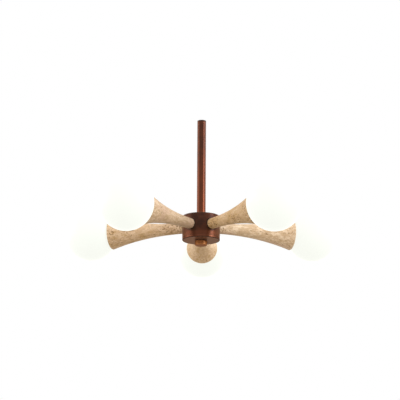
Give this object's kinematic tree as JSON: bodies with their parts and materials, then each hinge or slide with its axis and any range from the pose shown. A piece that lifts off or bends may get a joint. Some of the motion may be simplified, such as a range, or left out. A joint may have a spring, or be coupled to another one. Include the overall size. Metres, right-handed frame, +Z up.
{
  "type": "chandelier",
  "caption": "Hanging chandelier: a bronzed drum hub on a straight stem carries trumpet-shaped travertine arms, each ending in a lit opal glass globe.",
  "frame": {"origin": "centre of the hanging thread's mouth, at the top of the stem", "axes": "+Z up along the stem; the front faces -Y and one arm points straight back along +Y"},
  "size_m": [0.6284, 0.6035, 0.3107],
  "materials": {
    "dark_bronze": "dark red-brown bronzed brass, satin lacquer",
    "collar_bronze": "dark bronzed brass, satin",
    "copper_bronze": "copper-bronze, satin",
    "travertine": "honed unfilled travertine with fine veins and small pits",
    "opal_glass": "white opal blown glass, lit from inside",
    "zinc_steel": "zinc-plated steel",
    "brass": "plain turned brass",
    "aluminium": "turned aluminium",
    "black_rubber": "black rubber",
    "clear_silicone": "translucent silicone",
    "white_ceramic": "unglazed white ceramic",
    "lamp_envelope": "frosted lamp capsule",
    "white_flex": "white sheathed flex",
    "silicone_cores": "silicone-insulated cores",
    "earth_insulation": "green insulation"
  },
  "bodies": {
    "fixture": {"stem_tube": "dark_bronze", "hub_body": "dark_bronze", "stem_top_collar": "collar_bronze", "horn_back": "travertine", "horn_left": "travertine", "horn_front_left": "travertine", "horn_front_right": "travertine", "horn_right": "travertine", "hub_nipple": "zinc_steel", "nipple_washer": "zinc_steel", "nipple_nut": "zinc_steel", "crossbar": "zinc_steel", "crossbar_screws": "zinc_steel", "cover_stud": "zinc_steel", "stud_locknut": "zinc_steel", "arm_washers": "zinc_steel", "arm_nuts": "zinc_steel", "mouth_washers": "zinc_steel", "arm_tube_back": "zinc_steel", "arm_tube_left": "zinc_steel", "arm_tube_front_left": "zinc_steel", "arm_tube_front_right": "zinc_steel", "arm_tube_right": "zinc_steel", "stem_foot_bushing": "brass", "earth_screw": "brass", "earth_tag": "brass", "globe_carrier_back": "aluminium", "globe_carrier_left": "aluminium", "globe_carrier_front_left": "aluminium", "globe_carrier_front_right": "aluminium", "globe_carrier_right": "aluminium", "horn_root_pads": "black_rubber", "terminal_block": "white_ceramic", "lampholder_back": "white_ceramic", "lampholder_left": "white_ceramic", "lampholder_front_left": "white_ceramic", "lampholder_front_right": "white_ceramic", "lampholder_right": "white_ceramic", "supply_lead": "white_flex", "arm_leads": "silicone_cores", "earth_wire": "earth_insulation"},
    "cover": {"hub_base_cover": "dark_bronze", "finial_washer": "dark_bronze"},
    "finial": {"finial": "copper_bronze"},
    "seal_back": {"globe_seal_back": "clear_silicone"},
    "globe_back": {"globe_back": "opal_glass"},
    "bulb_back": {"bulb_back": "lamp_envelope"},
    "seal_left": {"globe_seal_left": "clear_silicone"},
    "globe_left": {"globe_left": "opal_glass"},
    "bulb_left": {"bulb_left": "lamp_envelope"},
    "seal_front_left": {"globe_seal_front_left": "clear_silicone"},
    "globe_front_left": {"globe_front_left": "opal_glass"},
    "bulb_front_left": {"bulb_front_left": "lamp_envelope"},
    "seal_front_right": {"globe_seal_front_right": "clear_silicone"},
    "globe_front_right": {"globe_front_right": "opal_glass"},
    "bulb_front_right": {"bulb_front_right": "lamp_envelope"},
    "seal_right": {"globe_seal_right": "clear_silicone"},
    "globe_right": {"globe_right": "opal_glass"},
    "bulb_right": {"bulb_right": "lamp_envelope"}
  },
  "joints": [
    {"name": "cover_lower", "type": "slide", "parent": "fixture", "child": "cover", "axis": [0, 0, -1], "range_m": [0, 0.006]},
    {"name": "finial_turn", "type": "hinge", "parent": "cover", "child": "finial", "pos_m": [0, 0, -0.288], "axis": [0, 0, -1], "range_deg": [0, 2161]},
    {"name": "globe_back_lift", "type": "slide", "parent": "fixture", "child": "seal_back", "axis": [0, 1, 0], "range_m": [0, 0.0081]},
    {"name": "globe_back_turn", "type": "hinge", "parent": "seal_back", "child": "globe_back", "pos_m": [0, 0.2673, -0.2507], "axis": [0, 1, 0], "range_deg": [0, 720]},
    {"name": "bulb_back_pull", "type": "slide", "parent": "fixture", "child": "bulb_back", "axis": [0, 1, 0], "range_m": [0, 0.014]},
    {"name": "globe_left_lift", "type": "slide", "parent": "fixture", "child": "seal_left", "axis": [-0.9511, 0.309, 0], "range_m": [0, 0.0081]},
    {"name": "globe_left_turn", "type": "hinge", "parent": "seal_left", "child": "globe_left", "pos_m": [-0.25422, 0.0826, -0.2507], "axis": [-0.9511, 0.309, 0], "range_deg": [0, 720]},
    {"name": "bulb_left_pull", "type": "slide", "parent": "fixture", "child": "bulb_left", "axis": [-0.9511, 0.309, 0], "range_m": [0, 0.014]},
    {"name": "globe_front_left_lift", "type": "slide", "parent": "fixture", "child": "seal_front_left", "axis": [-0.5878, -0.809, 0], "range_m": [0, 0.0081]},
    {"name": "globe_front_left_turn", "type": "hinge", "parent": "seal_front_left", "child": "globe_front_left", "pos_m": [-0.15712, -0.21625, -0.2507], "axis": [-0.5878, -0.809, 0], "range_deg": [0, 720]},
    {"name": "bulb_front_left_pull", "type": "slide", "parent": "fixture", "child": "bulb_front_left", "axis": [-0.5878, -0.809, 0], "range_m": [0, 0.014]},
    {"name": "globe_front_right_lift", "type": "slide", "parent": "fixture", "child": "seal_front_right", "axis": [0.5878, -0.809, 0], "range_m": [0, 0.0081]},
    {"name": "globe_front_right_turn", "type": "hinge", "parent": "seal_front_right", "child": "globe_front_right", "pos_m": [0.15712, -0.21625, -0.2507], "axis": [0.5878, -0.809, 0], "range_deg": [0, 720]},
    {"name": "bulb_front_right_pull", "type": "slide", "parent": "fixture", "child": "bulb_front_right", "axis": [0.5878, -0.809, 0], "range_m": [0, 0.014]},
    {"name": "globe_right_lift", "type": "slide", "parent": "fixture", "child": "seal_right", "axis": [0.9511, 0.309, 0], "range_m": [0, 0.0081]},
    {"name": "globe_right_turn", "type": "hinge", "parent": "seal_right", "child": "globe_right", "pos_m": [0.25422, 0.0826, -0.2507], "axis": [0.9511, 0.309, 0], "range_deg": [0, 720]},
    {"name": "bulb_right_pull", "type": "slide", "parent": "fixture", "child": "bulb_right", "axis": [0.9511, 0.309, 0], "range_m": [0, 0.014]}
  ],
  "couplings": [
    {"joint": "finial_turn", "follows": "cover_lower", "rad_per_m": 6283.2},
    {"joint": "globe_back_lift", "follows": "globe_back_turn", "m_per_rad": 0.00063662},
    {"joint": "globe_left_lift", "follows": "globe_left_turn", "m_per_rad": 0.00063662},
    {"joint": "globe_front_left_lift", "follows": "globe_front_left_turn", "m_per_rad": 0.00063662},
    {"joint": "globe_front_right_lift", "follows": "globe_front_right_turn", "m_per_rad": 0.00063662},
    {"joint": "globe_right_lift", "follows": "globe_right_turn", "m_per_rad": 0.00063662}
  ]
}
